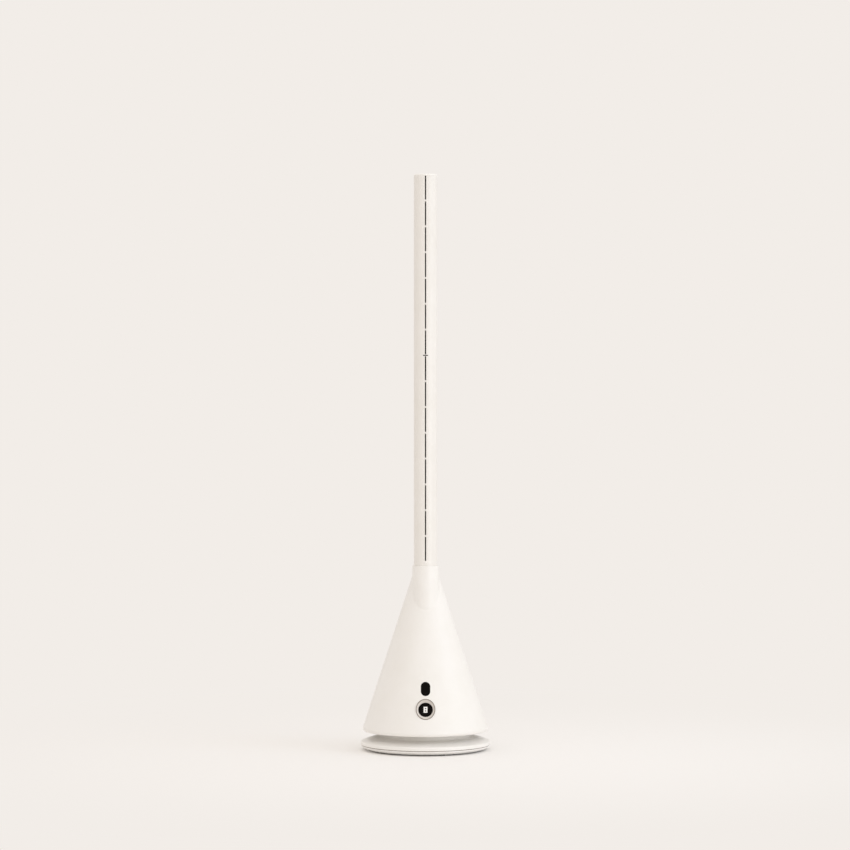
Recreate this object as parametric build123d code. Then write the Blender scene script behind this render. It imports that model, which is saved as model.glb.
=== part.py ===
"""Bladeless column fan: a round slotted air column on a cone that turns on a low round foot.

Millimetres, +Z up. The origin is on the floor, on the axis that the cone and the foot share.
The front is towards -Y, and the column stands forward of that axis.
"""
import os
from math import acos, atan, cos, degrees, pi, radians, sin, tan

from build123d import *

# ------------------------------------------------------------------ fits
slip = 0.1          # gap between pieces that are fitted together and do not move
running = 0.05      # radial gap of a shaft or hub that turns in its bearing
moving_gap = 0.4    # gap between other pieces that move past each other
panel_gap = 0.3     # joint line around a panel let into a shell
head_sink = 0.2     # how far a screw's head lies below the surface around it
thread_spare = 1.0  # depth of a screw hole beyond the screw's tip
through = 1.0       # how far a cut runs past the face that it opens

# ------------------------------------------------------------------ overall
total_height = 986.4        # floor to the top of the column
foot_radius = 111.0         # widest part of the foot cover
column_offset = 18.5        # column axis in front of the cone axis

# ------------------------------------------------------------------ foot
pad_radius = 6.0
pad_height = 3.0
pad_stand = 1.5             # how far the pads stand out of the base plate
pad_chamfer = 0.5
pad_inset = 23.0            # of the pads' and screws' circle from the foot's edge
pad_circle = foot_radius - pad_inset
pad_count = 5
base_step = 0.5             # how far the base plate's edge lies inside the cover's
base_edge_radius = foot_radius - base_step
base_taper = 12.5           # how much smaller its flat underside is, in radius
base_floor_radius = base_edge_radius - base_taper
base_camber = 0.8           # bulge of the side between the two
base_edge_height = 1.3      # upright edge between the side and the shadow line
base_edge_bevel = 0.4
base_thickness = 3.0
base_wall = 2.4
base_rim_width = 4.5        # of the plate's rim at the seam
groove_height = 1.2         # shadow line under the cover's rim
groove_depth = 1.6
seam_height = 9.6           # joint between base plate and foot cover
rim_height = 2.9            # straight side of the cover above the seam
rim_round = 3.4             # rounded edge above it
dome_top = 22.6             # top of the dome, at the foot of the neck
dome_radius = 84.0
dome_camber = 0.9           # how far the dome rises above a straight slope
neck_foot_round = 8.0       # wide hollow between the dome and the neck
neck_radius = 75.0
neck_top = 33.0
neck_wall = 3.0
cover_wall = 2.4
deck_top = 21.5             # level that carries the bearing and the motor
deck_thickness = 2.5
foot_screw_count = 5
foot_screw_radius = 1.7
foot_screw_head = 3.4
foot_screw_head_height = 2.0
foot_screw_length = 11.0
foot_boss_radius = 4.0
screw_land_height = 1.2     # raised land in the tray around each screw
screw_land_width = 1.6
ballast_inner = 64.0
ballast_inset = 9.0         # of its edge from the foot's edge
ballast_outer = foot_radius - ballast_inset
ballast_height = 8.0

# ------------------------------------------------------------------ power inlet
inlet_body_radius = 4.9
inlet_mouth_radius = 4.0
inlet_mouth_depth = 3.0
inlet_jack_radius = 3.1
inlet_jack_depth = 9.0
inlet_pin_radius = 1.0
inlet_pin_length = 8.0
inlet_recess = 6.0          # of its face from the foot's edge
inlet_face = foot_radius - inlet_recess
inlet_length = 15.0

# ------------------------------------------------------------------ bearing of the turning head
hub_radius = 13.9
hub_bore = 11.0             # cable way through the hub
bush_wall = 3.0
bush_flange = 4.0
bush_flange_height = 1.5
bush_depth = 1.5            # how far the bush reaches below the deck
clip_thickness = 1.7
clip_groove = 1.0
clip_width = 5.4
clip_play = 0.1             # above and below it
clip_opening = 12.0         # half of its opening, in degrees
hub_end = 1.6               # of the hub below the clip
slide_ring_height = 2.0
slide_ring_width = 4.0
turntable_inset = 31.0      # of its edge from the foot's edge
turntable_radius = foot_radius - turntable_inset
turntable_thickness = 3.0
turntable_rib_count = 6
turntable_rib_height = 1.8
turntable_rib_width = 2.4
head_floor_thickness = 3.0
floor_fence_height = 3.0    # ring on the head floor in front of the filter
floor_fence_inset = 20.0
floor_fence_width = 2.0
table_screw_circle = 34.0
table_screw_count = 4
table_screw_radius = 1.9
table_screw_head = 3.6
table_screw_head_height = 2.0
table_screw_length = 9.5
table_boss_radius = 5.0
table_boss_height = 5.0

# ------------------------------------------------------------------ oscillation gear pair
gear_module = 1.5
pressure_angle = 20.0
pinion_teeth = 12
ring_teeth = 72
backlash = 0.15             # gap at each flank, at the pitch circle
ring_addendum = 0.8
gear_clearance = 0.4        # tip to root
gear_width = 6.0
ring_gear_wall = 4.1
pinion_root_spare = 0.6     # extra depth of the pinion's tooth spaces
pinion_lift = 2.0           # of the pinion above the motor's boss
pinion_collar_height = 1.0
shaft_round_end = 1.5       # the shaft's flat starts this far below the pinion
shaft_tip = 0.8             # and its end stands this far above it
ring_spaces_each_side = 14  # tooth spaces either side of the middle one
gear_screw_angles = (-52.5, 2.5, 57.5)
gear_screw_radius = 1.1
gear_screw_head = 2.2
gear_screw_head_height = 1.4
gear_screw_length = 8.4
motor_radius = 14.0
motor_height = 11.5
motor_edge_round = 1.0
motor_shaft_depth = 6.0     # of the shaft inside the motor
motor_boss_radius = 4.5
motor_boss_height = 2.0
motor_shaft_radius = 2.5
motor_shaft_flat = 2.0      # distance of the shaft's flat from its axis
motor_ear_reach = 17.5
motor_ear_radius = 3.5
motor_ear_thickness = 1.0
motor_screw_radius = 1.4
motor_screw_head = 2.7
motor_screw_head_height = 2.0
motor_screw_length = 6.5
motor_lug_height = 3.0      # of the bosses on the deck that take its screws

# ------------------------------------------------------------------ cone and collar
skirt_bottom = 32.4         # lowest edge of the cone, above the gap
cone_setback = 1.5          # how much smaller than the foot the cone is, in radius
cone_bottom_radius = foot_radius - cone_setback
cone_top_radius = 16.7      # at the level of the collar's top
cone_edge_round = 5.0
cone_rim_width = 8.5        # width of the thicker lower rim
cone_rim_opening = cone_bottom_radius - cone_rim_width
shell_wall = 2.6
collar_radius = 22.5
collar_top = 317.0
collar_top_round = 1.0
collar_blend = 6.0
column_seat = 262.0         # level on which the column stands inside the collar
seat_height = 8.0           # of the collar's inner step under the column
crown_height = 12.0         # solid top of the cone behind the collar
shell_post_inset = 17.5     # of the posts' circle from the cone's edge
shell_post_circle = cone_bottom_radius - shell_post_inset
shell_post_radius = 4.5
shell_post_angles = (15, 165, 225, 315)
shell_post_height = 34.0
shell_screw_radius = 1.6
shell_screw_head = 3.2
shell_screw_head_height = 2.0
shell_screw_length = 14.0
ledge_level = 132.0         # underside of the ring that carries the blower
ledge_thickness = 3.0
ledge_width = 11.0
ledge_boss_radius = 3.6
ledge_boss_height = 5.0

# ------------------------------------------------------------------ rear intake
grille_bottom = 50.0
grille_top = 114.0
grille_half_angle = 50.0
grille_corner = 6.0
grille_margin = 6.0
grille_rows = 3
grille_columns = 23
grille_slot_width = 2.6
grille_bar = 3.6            # height of the bars between the rows
grille_frame = 1.6          # thickness of the frame behind the shell
grille_lap = 3.0            # how far that frame reaches behind the shell
filter_thickness = 9.0
filter_gap = 1.5

# ------------------------------------------------------------------ blower
casing_clearance = 5.8      # between the casing's bore and the cone's wall at its top
casing_wall = 2.4
casing_height = 69.0        # above the top of its flange
casing_flange = 3.0
bell_radius = 9.0
seal_height = 3.0
casing_screw_count = 3
casing_screw_radius = 1.5
casing_screw_head = 2.9
casing_screw_head_height = 2.0
casing_screw_length = 13.0
impeller_lift = 4.0         # of the impeller above the casing's lower face
impeller_tip_gap = 3.0      # from the impeller to the casing
impeller_height = 28.0
impeller_eye_step = 7.0     # how much smaller the shroud is where the air enters
impeller_back_step = 8.0    # how much smaller the hub is where the air leaves
impeller_rim = 1.0          # thickness of the hub's edge there
impeller_hub = 9.0
hub_lift = 2.0              # of the hub's nose above the shroud's lower edge
waist_share = 0.55          # height of the waist of shroud and hub
shroud_waist_share = 0.32   # how far the shroud has widened there
hub_waist_share = 0.34      # how far the hub has widened there
back_hollow_floor = 0.34    # radii and depth of the hollow in the hub's back, as shares of it
back_hollow_mouth = 0.72
back_hollow_depth = 0.4
shroud_wall = 1.4
blade_count = 9
blade_thickness = 1.6
blade_sweep = 48.0          # angle by which a blade trails from root to tip
blade_start = 12.0
blade_lift = 1.0            # of the blades above the shroud's lower edge
vane_bow = 0.34             # share of the sweep that a vane has turned at its middle
rotor_shaft_radius = 2.5
rotor_nut_width = 8.0
rotor_nut_height = 4.0
rotor_shaft_tip = 1.0       # of the shaft below its nut
fan_motor_share = 0.532     # the motor's radius as a share of the casing's
fan_motor_gap = 3.0         # between the impeller's back and the motor
fan_motor_height = 33.0
fan_motor_round = 2.0
fan_motor_boss = 1.5        # height of its lower bearing boss
fan_motor_vents = 6
fan_motor_vent_radius = 3.2
fan_motor_vent_depth = 2.0
fan_motor_vent_share = 0.62 # radius of the vents' circle as a share of the motor's
fan_motor_end = 3.0         # motor above the shaft's upper end
diffuser_wall = 2.0
diffuser_lift = 1.0         # of its lower edge above the motor's
vane_count = 11
vane_thickness = 1.6
vane_sweep = 22.0
tail_height = 12.0
tail_width_share = 0.72     # width and height of the tail's shoulder, as shares
tail_rise_share = 0.62
duct_wall = 1.8
duct_flange = 2.0
duct_skirt = 8.0
duct_skirt_wall = 1.4
duct_neck_level = 240.0     # where the duct becomes the round spigot
spigot_radius = 17.7
spigot_top = 285.0
seal_ring_level = 274.0
seal_ring_height = 3.0
seal_ring_depth = 0.8

# ------------------------------------------------------------------ column
column_radius = 20.0
column_wall = 2.0
slot_width = 2.2
slot_bridge = 3.0
slots_above = 7
slots_below = 8
slot_top_margin = 1.0       # between the highest slot and the cap
slot_low_margin = 8.8       # between the collar and the lowest slot
sleeve_wall = 1.6
sleeve_reach = 28.0         # how far the sleeve goes into each section
sleeve_half_angle = 42.0    # half of its opening behind the slots
key_width = 8.6             # locating nib that shows at the joint
key_height = 1.6
nozzle_half_angle = 38.0
nozzle_wall = 1.6
nozzle_slit = 2.6
nozzle_depth = 8.0          # how far the lips reach into the column
nozzle_flare = 3.0
nozzle_margin = 5.0
cap_height = 2.6
cap_spigot = 0.8            # shallow, so that it ends above the highest slot
cap_round = 2.2

# The slots share the visible length of the column; the joint is in the middle of a bridge.
cap_bottom = total_height - cap_height
slots_length = cap_bottom - slot_top_margin - collar_top - slot_low_margin + slot_bridge
slot_pitch = slots_length / (slots_above + slots_below)
column_joint = cap_bottom - slot_top_margin - slots_above * slot_pitch + slot_bridge / 2

# ------------------------------------------------------------------ controls
control_level = 78.2        # height of the control's centre on the cone
bezel_radius = 16.5
bezel_lip = 1.0
bezel_proud = 6.0           # how far cutters for it stand out of the cone
bezel_land = 0.9            # straight part of the dish below its lip
bezel_depth = 3.4           # full depth of the dish
bezel_length = 9.0
bezel_flange = 2.5
bezel_flange_width = 2.5
bezel_flange_depth = 5.4
bezel_post_radius = 2.4
bezel_post_reach = 12.2     # of the posts along and across the cone
button_radius = 12.0
button_gap = 0.3
button_face = 2.9           # depth of its face below the cone's surface
button_height = 4.0
button_travel = 1.0
button_round = 0.6
button_flange = 1.4
button_flange_height = 1.2
button_stem_radius = 3.0
lens_level = 111.6
lens_width = 15.8
lens_length = 24.4
lens_thickness = 4.0
lens_flange = 1.2
lens_hole_depth = 8.0
sensor_size = 8.0           # light receiver behind the window
sensor_height = 2.4
board_depth = 12.0          # front of the control board below the cone's surface
board_thickness = 1.6
board_width = 30.0
board_drop = 20.0           # from the control's centre to the board's lower edge
board_rise = 40.0           # from the control's centre to its upper edge
switch_size = 6.2
switch_height = 2.2
switch_plunger_radius = 1.75
switch_plunger_height = 0.5
board_screw_radius = 1.2
board_screw_head = 2.4
board_screw_head_height = 1.2
control_screw_length = 4.5
main_screw_length = 5.0
main_board_size = (64.0, 44.0)
main_board_level = 48.0
main_board_y = 40.0
standoff_radius = 3.0
block_sizes = ((-14.0, 0.0, 16.0, 12.0, 5.0), (12.0, -10.0, 18.0, 6.0, 7.0))
capacitor_place = (14.0, 6.0)
capacitor_radius = 5.0
capacitor_height = 9.0

parts = {}


# ------------------------------------------------------------------ shared shapes
def pillar(radius, bottom, top, x=0.0, y=0.0):
    """Round bar or hole along Z from one level to another."""
    return Pos(x, y, bottom) * Cylinder(
        radius, top - bottom, align=(Align.CENTER, Align.CENTER, Align.MIN)
    )


def ring(outer, inner, bottom, top):
    """Flat ring about the Z axis."""
    return pillar(outer, bottom, top) - pillar(inner, bottom - through, top + through)


def turned(outline):
    """Solid of revolution about Z from a closed outline of edges drawn as (radius, level)."""
    return revolve(Plane.XZ * make_face(outline), Axis.Z)


def on_circle(radius, count, start=0.0):
    """Evenly spaced points on a circle about the Z axis."""
    for step in range(count):
        angle = start + 360 * step / count
        yield radius * cos(radians(angle)), radius * sin(radians(angle))


screw_edge = 0.2    # chamfer of a screw's head as a share of its height


def screw(radius, head_radius, length, head_height):
    """Screw with its head's flat top at z = 0, its shank running down to z = -length."""
    head = Pos(0, 0, -head_height / 2) * Cylinder(head_radius, head_height)
    head = chamfer(head.faces().sort_by(Axis.Z)[-1].edges(), screw_edge * head_height)
    shank = Pos(0, 0, -length / 2) * Cylinder(radius, length)
    return head + shank


wedge_reach = 1.3   # a wedge runs this many times past the radius that it has to cover


def sector(radius, half_angle, bottom, top, centre_angle):
    """Wedge about the Z axis, used to cut or keep a range of angles."""
    corners = [(0, 0)]
    for share in (-1, -0.5, 0, 0.5, 1):
        angle = radians(centre_angle + share * half_angle)
        corners.append((wedge_reach * radius * cos(angle), wedge_reach * radius * sin(angle)))
    wedge = make_face(Polyline(*corners, close=True))
    return Pos(0, 0, bottom) * extrude(wedge, top - bottom)


# ------------------------------------------------------------------ foot: outer form
# The cover is a shallow dome with a rounded edge; a short neck rises from its middle.
rim_top = seam_height + rim_height
edge_centre = foot_radius - rim_round
dome_edge_level = rim_top + rim_round


def dome_outline(inset):
    """Outline of the dome and the neck, drawn inwards by the cover's wall for the inner face."""
    edge = rim_round - inset
    crown = dome_top - inset
    middle = (
        (edge_centre + dome_radius) / 2,
        (dome_edge_level - inset + crown) / 2 + dome_camber,
    )
    side = Line((foot_radius - inset, seam_height), (foot_radius - inset, rim_top))
    corner = CenterArc((edge_centre, rim_top), edge, 0, 90)
    slope = ThreePointArc((edge_centre, rim_top + edge), middle, (dome_radius, crown))
    top = Line((dome_radius, crown), (0, crown))
    axis = Line((0, crown), (0, seam_height))
    floor = Line((0, seam_height), (foot_radius - inset, seam_height))
    return side + corner + slope + top + axis + floor


# The base plate's side rises in a nearly straight slope to an upright edge; the shadow line
# above the edge is a step in the same turned outline.
groove_bottom = seam_height - groove_height
groove_radius = base_edge_radius - groove_depth
side_top = groove_bottom - base_edge_height
base_side = Line((base_floor_radius, pad_stand), (base_edge_radius, side_top))
side_middle = base_side @ 0.5
side_out = Vector(side_top - pad_stand, -base_taper).normalized() * base_camber
base_outer = turned(
    Line((0, pad_stand), base_side @ 0)
    + ThreePointArc(base_side @ 0, side_middle + side_out, base_side @ 1)
    + Polyline(
        base_side @ 1,
        (base_edge_radius, groove_bottom - base_edge_bevel),
        (base_edge_radius - base_edge_bevel, groove_bottom),
        (groove_radius, groove_bottom),
        (groove_radius, seam_height),
        (0, seam_height),
        (0, pad_stand),
    )
)
tray_level = pad_stand + base_thickness
base_inner = turned(
    Polyline(
        (0, tray_level),
        (base_floor_radius + base_wall, tray_level),
        (base_edge_radius - base_rim_width, side_top),
        (base_edge_radius - base_rim_width, seam_height),
        (0, seam_height),
        close=True,
    )
)
foot_screw_points = list(on_circle(pad_circle, foot_screw_count, 180 / pad_count))
boss_foot = tray_level + screw_land_height
foot_head_bottom = pad_stand + head_sink
foot_head_top = foot_head_bottom + foot_screw_head_height

inlet_hole = Pos(0, (inlet_face - inlet_length + foot_radius) / 2, seam_height) * (
    Rot(90, 0, 0) * Cylinder(inlet_body_radius + slip / 2, foot_radius - inlet_face + inlet_length)
)

base_plate = base_outer - base_inner - inlet_hole
for x, y in on_circle(pad_circle, pad_count):
    base_plate -= pillar(pad_radius + slip, 0, pad_height, x, y)
for x, y in foot_screw_points:
    base_plate += pillar(foot_screw_head + screw_land_width, tray_level, boss_foot, x, y)
    base_plate -= pillar(foot_screw_head + slip, 0, foot_head_top, x, y)
    base_plate -= pillar(foot_screw_radius + slip, 0, seam_height, x, y)
parts["base_plate"] = base_plate

# Rubber pads set in round pockets of the base plate, one of them on the +X axis.
pad = pillar(pad_radius, 0, pad_height)
pad = chamfer(pad.faces().sort_by(Axis.Z)[0].edges(), pad_chamfer)
pads = []
for x, y in on_circle(pad_circle, pad_count):
    pads.append(Pos(x, y, 0) * pad)
parts["rubber_feet"] = Compound(children=pads)

# Steel ring that keeps the tall column from tipping, with holes for the screw bosses.
ballast_ring = ring(ballast_outer, ballast_inner, boss_foot, boss_foot + ballast_height)
for x, y in foot_screw_points:
    ballast_ring -= pillar(foot_boss_radius + 2 * slip, tray_level, dome_top, x, y)
inlet_notch = 2 * (inlet_body_radius + moving_gap)
ballast_ring -= Pos(0, ballast_outer - inlet_length / 2, seam_height) * Box(
    inlet_notch, inlet_length + inlet_notch, dome_top
)
parts["ballast_ring"] = ballast_ring

# Foot cover: dome, neck and the deck inside the neck that carries bearing and motor.
cover_outer = turned(dome_outline(0)) + pillar(neck_radius, dome_top - through, neck_top)
neck_foot = cover_outer.edges().filter_by(GeomType.CIRCLE).filter_by(
    lambda e: abs(e.radius - neck_radius) < 0.01 and abs(e.center().Z - dome_top) < 0.01
)
cover_outer = fillet(neck_foot, neck_foot_round)
deck_bottom = deck_top - deck_thickness
cover_inner = turned(dome_outline(cover_wall))
neck_inner = pillar(neck_radius - neck_wall, deck_top, neck_top + through)
bush_radius = hub_radius + running + bush_wall
foot_cover = cover_outer - cover_inner - neck_inner
foot_cover -= pillar(bush_radius + slip, 0, neck_top)
foot_screw_tip = foot_head_bottom + foot_screw_length
for x, y in foot_screw_points:
    boss = pillar(foot_boss_radius, boss_foot, dome_top, x, y) & cover_outer
    lower_boss = pillar(foot_boss_radius, boss_foot, seam_height + through, x, y)
    foot_cover += boss + lower_boss
    foot_cover -= pillar(foot_screw_radius + slip, 0, foot_screw_tip + thread_spare, x, y)
foot_cover -= inlet_hole

# Oscillation motor, hung under the deck beside the bearing, its shaft pointing up.
pitch_radius = gear_module * ring_teeth / 2
pinion_pitch = gear_module * pinion_teeth / 2
motor_x = pitch_radius - pinion_pitch
motor_ears = [(motor_x, motor_ear_reach), (motor_x, -motor_ear_reach)]
foot_cover -= pillar(motor_boss_radius + slip, 0, neck_top, motor_x)
motor_screw_seat = deck_bottom - motor_ear_thickness
motor_screw_tip = motor_screw_seat - motor_screw_head_height + motor_screw_length
for x, y in motor_ears:
    foot_cover += pillar(motor_ear_radius, deck_top, deck_top + motor_lug_height, x, y)
    foot_cover -= pillar(motor_screw_radius + slip, 0, motor_screw_tip + slip, x, y)
parts["foot_cover"] = foot_cover

foot_screw = Rot(180, 0, 0) * screw(
    foot_screw_radius, foot_screw_head, foot_screw_length, foot_screw_head_height
)
foot_screws = []
for x, y in foot_screw_points:
    foot_screws.append(Pos(x, y, foot_head_bottom) * foot_screw)
parts["foot_screws"] = Compound(children=foot_screws)

motor_can = pillar(motor_radius, deck_bottom - motor_height, deck_bottom)
motor_can = fillet(motor_can.faces().sort_by(Axis.Z)[0].edges(), motor_edge_round)
oscillation_motor = Pos(motor_x, 0, 0) * motor_can
oscillation_motor += pillar(
    motor_boss_radius, deck_bottom - motor_edge_round, deck_top + motor_boss_height, motor_x
)
for x, y in motor_ears:
    oscillation_motor += pillar(motor_ear_radius, motor_screw_seat, deck_bottom, x, y)
    oscillation_motor += Pos(x, y / 2, motor_screw_seat + motor_ear_thickness / 2) * Box(
        2 * motor_ear_radius, motor_ear_reach, motor_ear_thickness
    )
    oscillation_motor -= pillar(motor_screw_radius + slip, 0, deck_top, x, y)
shaft_foot = deck_bottom - motor_shaft_depth
oscillation_motor -= pillar(motor_shaft_radius + running, shaft_foot, neck_top, motor_x)
parts["oscillation_motor"] = oscillation_motor

motor_screw = Rot(180, 0, 0) * screw(
    motor_screw_radius, motor_screw_head, motor_screw_length, motor_screw_head_height
)
motor_screws = []
for x, y in motor_ears:
    motor_screws.append(Pos(x, y, motor_screw_seat - motor_screw_head_height) * motor_screw)
parts["motor_screws"] = Compound(children=motor_screws)

# Round power inlet at the back, half in the base plate and half in the cover.
inlet_body = Cylinder(inlet_body_radius, inlet_length)
inlet_top = inlet_length / 2
inlet_body -= Pos(0, 0, inlet_top - inlet_mouth_depth / 2) * Cylinder(
    inlet_mouth_radius, inlet_mouth_depth
)
jack_depth = inlet_mouth_depth + inlet_jack_depth
inlet_body -= Pos(0, 0, inlet_top - jack_depth / 2) * Cylinder(inlet_jack_radius, jack_depth)
inlet_body += Pos(0, 0, inlet_top - jack_depth + inlet_pin_length / 2) * Cylinder(
    inlet_pin_radius, inlet_pin_length
)
inlet_place = Pos(0, inlet_face - inlet_length / 2, seam_height) * Rot(-90, 0, 0)
parts["power_inlet"] = inlet_place * inlet_body

# Plain bearing bush in the deck; the hub of the turntable turns in it.
bush_bottom = deck_bottom - bush_depth
bush_top = deck_top + bush_flange_height
pivot_bush = pillar(bush_radius, bush_bottom, bush_top)
pivot_bush += pillar(bush_radius + bush_flange, deck_top, bush_top)
pivot_bush -= pillar(hub_radius + running, 0, neck_top)
parts["pivot_bush"] = pivot_bush

# Low-friction ring on the neck's upper edge, on which the turntable slides.
slide_top = neck_top + slide_ring_height
slide_inner = neck_radius - slide_ring_width
slide_ring = ring(neck_radius - slip, slide_inner, neck_top, slide_top)
slide_ring += ring(
    neck_radius - neck_wall - slip, slide_inner, neck_top - slide_ring_height, neck_top
)
parts["slide_ring"] = slide_ring


# ------------------------------------------------------------------ oscillation gear pair
def involute_point(base_radius, at_radius, half_angle, pitch_circle, sign):
    """Point of a flank whose tooth is half_angle wide at the pitch circle."""
    at_pitch = acos(base_radius / pitch_circle)
    here = acos(min(1.0, base_radius / at_radius))
    angle = half_angle + (tan(at_pitch) - at_pitch) - (tan(here) - here)
    return at_radius * cos(angle), sign * at_radius * sin(angle)


root_sink = 0.9     # share of the inner radius to which a tooth's sides run down


def tooth_face(teeth, inner, outer, side_gap):
    """Flat face of one involute tooth pointing along +X, narrowed at each flank by side_gap."""
    circle = gear_module * teeth / 2
    base = circle * cos(radians(pressure_angle))
    half_angle = pi / 2 / teeth - side_gap / circle
    low = max(inner, base)
    flanks = []
    for sign in (1, -1):
        points = []
        for share in (0, 0.5, 1):
            points.append(
                involute_point(base, low + share * (outer - low), half_angle, circle, sign)
            )
        flanks.append(points)
    root = []
    for sign, points in zip((1, -1), flanks):
        turn = atan(points[0][1] / points[0][0])
        root.append((root_sink * inner * cos(turn), root_sink * inner * sin(turn)))
    outline = Line(root[0], flanks[0][0]) + ThreePointArc(*flanks[0])
    outline += ThreePointArc(flanks[0][2], (outer, 0), flanks[1][2])
    outline += ThreePointArc(*reversed(flanks[1])) + Line(flanks[1][0], root[1])
    outline += Line(root[1], root[0])
    return make_face(outline)


pinion_tip = pinion_pitch + gear_module
ring_tip = pitch_radius - ring_addendum
ring_root = motor_x + pinion_tip + gear_clearance
pinion_root = ring_tip - motor_x - gear_clearance - pinion_root_spare
gear_bottom = deck_top + motor_boss_height + pinion_lift
gear_top = gear_bottom + gear_width

pinion_teeth_faces = []
for tooth in range(pinion_teeth):
    pinion_teeth_faces.append(
        Rot(0, 0, 360 * tooth / pinion_teeth)
        * tooth_face(pinion_teeth, pinion_root, pinion_tip, backlash)
    )
pinion_section = Circle(pinion_root) + pinion_teeth_faces
shaft_section = Circle(motor_shaft_radius) - Pos(motor_shaft_radius + motor_shaft_flat, 0) * (
    Rectangle(2 * motor_shaft_radius, 4 * motor_shaft_radius)
)
bore_section = Circle(motor_shaft_radius + slip / 2) - Pos(
    motor_shaft_radius + motor_shaft_flat + slip / 2, 0
) * Rectangle(2 * motor_shaft_radius, 4 * motor_shaft_radius)
pinion_place = Pos(motor_x, 0, 0)
drive_pinion = extrude(Pos(0, 0, gear_bottom) * (pinion_section - bore_section), gear_width)
pinion_collar = extrude(
    Pos(0, 0, gear_bottom - pinion_collar_height) * (Circle(motor_boss_radius) - bore_section),
    pinion_collar_height,
)
parts["drive_pinion"] = pinion_place * (drive_pinion + pinion_collar)
flat_start = gear_bottom - shaft_round_end
round_shaft = pillar(motor_shaft_radius, shaft_foot + 2 * slip, flat_start)
flat_shaft = extrude(
    Pos(0, 0, flat_start) * shaft_section, shaft_round_end + gear_width + shaft_tip
)
parts["motor_shaft"] = pinion_place * (round_shaft + flat_shaft)

# The ring gear is a sector: it only needs the teeth that pass the pinion.
table_bottom = slide_top
table_top = table_bottom + turntable_thickness
ring_outer = ring_root + ring_gear_wall
tooth_angle = 360 / ring_teeth
sector_half_angle = (ring_spaces_each_side + 1) * tooth_angle
ring_gear = ring(ring_outer, ring_tip, gear_bottom, gear_top)
ring_gear += ring(ring_outer, ring_root, gear_top, table_bottom)
ring_gear &= sector(
    ring_outer, sector_half_angle, gear_bottom - through, table_bottom + through, 0
)
ring_space = Pos(0, 0, gear_bottom) * tooth_face(ring_teeth, ring_tip, ring_root, -backlash)
ring_cut = extrude(ring_space, gear_width)
space_cuts = []
for space in range(-ring_spaces_each_side, ring_spaces_each_side + 1):
    space_cuts.append(Rot(0, 0, space * tooth_angle) * ring_cut)
ring_gear -= space_cuts
gear_screw_circle = (ring_root + ring_outer) / 2
gear_screw_points = []
for angle in gear_screw_angles:
    turn = radians(angle)
    gear_screw_points.append((gear_screw_circle * cos(turn), gear_screw_circle * sin(turn)))
gear_screw_top = table_top - slip
gear_screw_tip = gear_screw_top - gear_screw_length
for x, y in gear_screw_points:
    ring_gear -= pillar(gear_screw_radius + slip / 2, gear_screw_tip - slip, table_top, x, y)
parts["ring_gear"] = ring_gear

# ------------------------------------------------------------------ turntable and head floor
clip_top = bush_bottom - clip_play
clip_bottom = clip_top - clip_thickness
hub_bottom = clip_bottom - hub_end
turntable = pillar(turntable_radius, table_bottom, table_top)
turntable += pillar(hub_radius, hub_bottom, table_bottom + through)
rib_level = table_bottom - turntable_rib_height / 2
rib_reach = ring_tip - moving_gap - hub_radius
for rib in range(turntable_rib_count):
    turntable += Rot(0, 0, 360 * (rib + 0.5) / turntable_rib_count) * (
        Pos(hub_radius - through + rib_reach / 2, 0, rib_level)
        * Box(rib_reach, turntable_rib_width, turntable_rib_height)
    )
turntable -= ring(hub_radius + through, hub_radius - clip_groove, clip_bottom, clip_top)
gear_head_seat = gear_screw_top - gear_screw_head_height - slip
table_screw_points = list(on_circle(table_screw_circle, table_screw_count, 45))
for x, y in table_screw_points:
    turntable -= pillar(table_screw_radius + slip, 0, table_top, x, y)
for x, y in gear_screw_points:
    turntable -= pillar(gear_screw_radius + slip, table_bottom, table_top, x, y)
    turntable -= pillar(gear_screw_head + slip, gear_head_seat, table_top, x, y)
turntable -= pillar(hub_bore, 0, table_top)
parts["turntable"] = turntable

gear_screw = screw(
    gear_screw_radius, gear_screw_head, gear_screw_length, gear_screw_head_height
)
gear_screws = []
for x, y in gear_screw_points:
    gear_screws.append(Pos(x, y, gear_screw_top) * gear_screw)
parts["gear_screws"] = Compound(children=gear_screws)

clip_inner = hub_radius - clip_groove + slip
retaining_ring = ring(
    clip_inner + clip_width, clip_inner, clip_bottom + clip_play / 2, clip_top - clip_play / 2
)
retaining_ring -= sector(clip_inner + clip_width, clip_opening, 0, neck_top, 180)
parts["retaining_ring"] = retaining_ring


def cone_radius(level):
    """Outer radius of the cone at a level."""
    return cone_bottom_radius - (level - skirt_bottom) * cone_slope


floor_bottom = table_top
floor_top = floor_bottom + head_floor_thickness
cone_slope = (cone_bottom_radius - cone_top_radius) / (collar_top - skirt_bottom)
slope_angle = degrees(atan(cone_slope))
wall_across = shell_wall / cos(radians(slope_angle))
floor_radius = cone_rim_opening - slip
shell_post_points = []
for angle in shell_post_angles:
    turn = radians(angle)
    shell_post_points.append((shell_post_circle * cos(turn), shell_post_circle * sin(turn)))
table_screw_tip = table_bottom - table_screw_head_height + table_screw_length
head_floor = pillar(floor_radius, floor_bottom, floor_top)
fence_radius = floor_radius - floor_fence_inset
head_floor += ring(
    fence_radius, fence_radius - floor_fence_width, floor_top, floor_top + floor_fence_height
)
for x, y in table_screw_points:
    head_floor += pillar(table_boss_radius, floor_top, floor_top + table_boss_height, x, y)
    head_floor -= pillar(table_screw_radius + slip, 0, table_screw_tip + slip, x, y)
for x, y in shell_post_points:
    head_floor -= pillar(shell_screw_radius + slip, 0, floor_top + through, x, y)
head_floor -= pillar(hub_bore, 0, floor_top + through)
main_board_x, main_board_depth = main_board_size
main_screw_tip = main_board_level + board_thickness + board_screw_head_height - main_screw_length
standoff_points = []
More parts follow.
